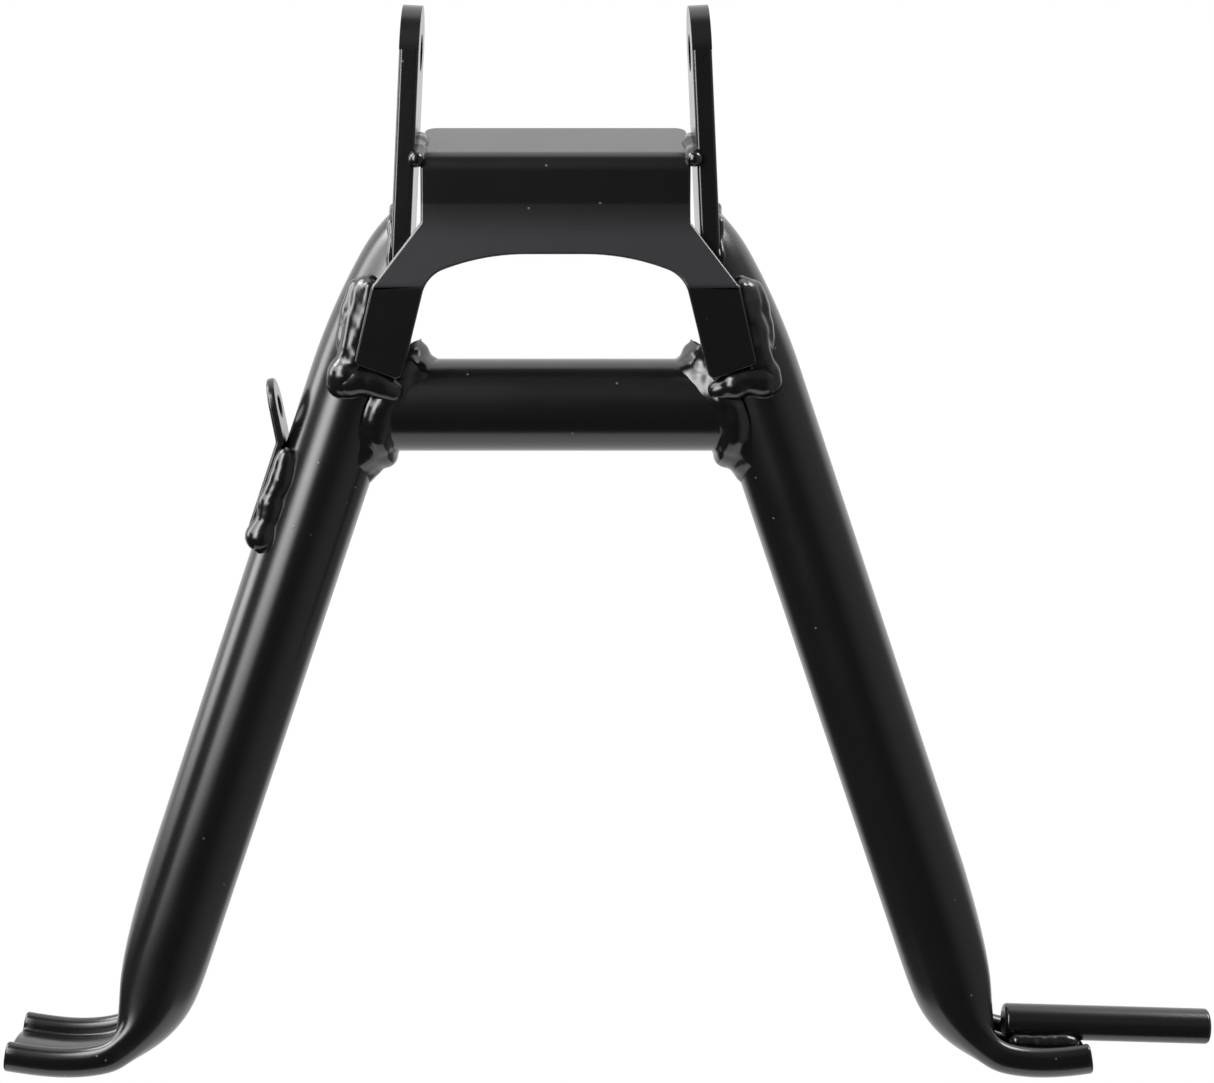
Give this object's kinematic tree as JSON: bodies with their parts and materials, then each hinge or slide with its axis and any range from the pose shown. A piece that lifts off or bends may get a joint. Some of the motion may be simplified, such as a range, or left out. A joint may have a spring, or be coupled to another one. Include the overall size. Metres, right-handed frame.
{
  "type": "motorcycle centre stand",
  "caption": "Welded black centre stand: splayed tube legs with pressed trough feet, a cross tube, a bent bridge plate, flat pivot ears, a round foot lever and a spring tab.",
  "frame": {"origin": "middle of the pivot axis, halfway between the two pivot ears", "axes": "+X along the pivot axis, towards the side with the foot lever; +Z from the feet up to the pivot; -Y towards the side with the bridge plate"},
  "size_m": [0.3427, 0.0351, 0.298],
  "materials": {
    "black_paint": "gloss black paint over steel tube, bar and sheet",
    "painted_weld": "gloss black paint over lumpy weld beads"
  },
  "bodies": {
    "root": {"left_leg_tube": "black_paint", "right_leg_tube": "black_paint", "cross_tube": "black_paint", "bridge_plate": "black_paint", "left_pivot_ear": "black_paint", "right_pivot_ear": "black_paint", "foot_lever": "black_paint", "spring_tab": "black_paint", "left_cross_tube_weld": "painted_weld", "right_cross_tube_weld": "painted_weld", "left_wing_under_weld": "painted_weld", "right_wing_under_weld": "painted_weld", "left_wing_side_weld": "painted_weld", "right_wing_side_weld": "painted_weld", "left_ear_seam_weld": "painted_weld", "right_ear_seam_weld": "painted_weld", "left_flange_weld": "painted_weld", "right_flange_weld": "painted_weld", "front_lever_weld": "painted_weld", "back_lever_weld": "painted_weld", "front_tab_weld": "painted_weld", "back_tab_weld": "painted_weld"}
  },
  "joints": []
}
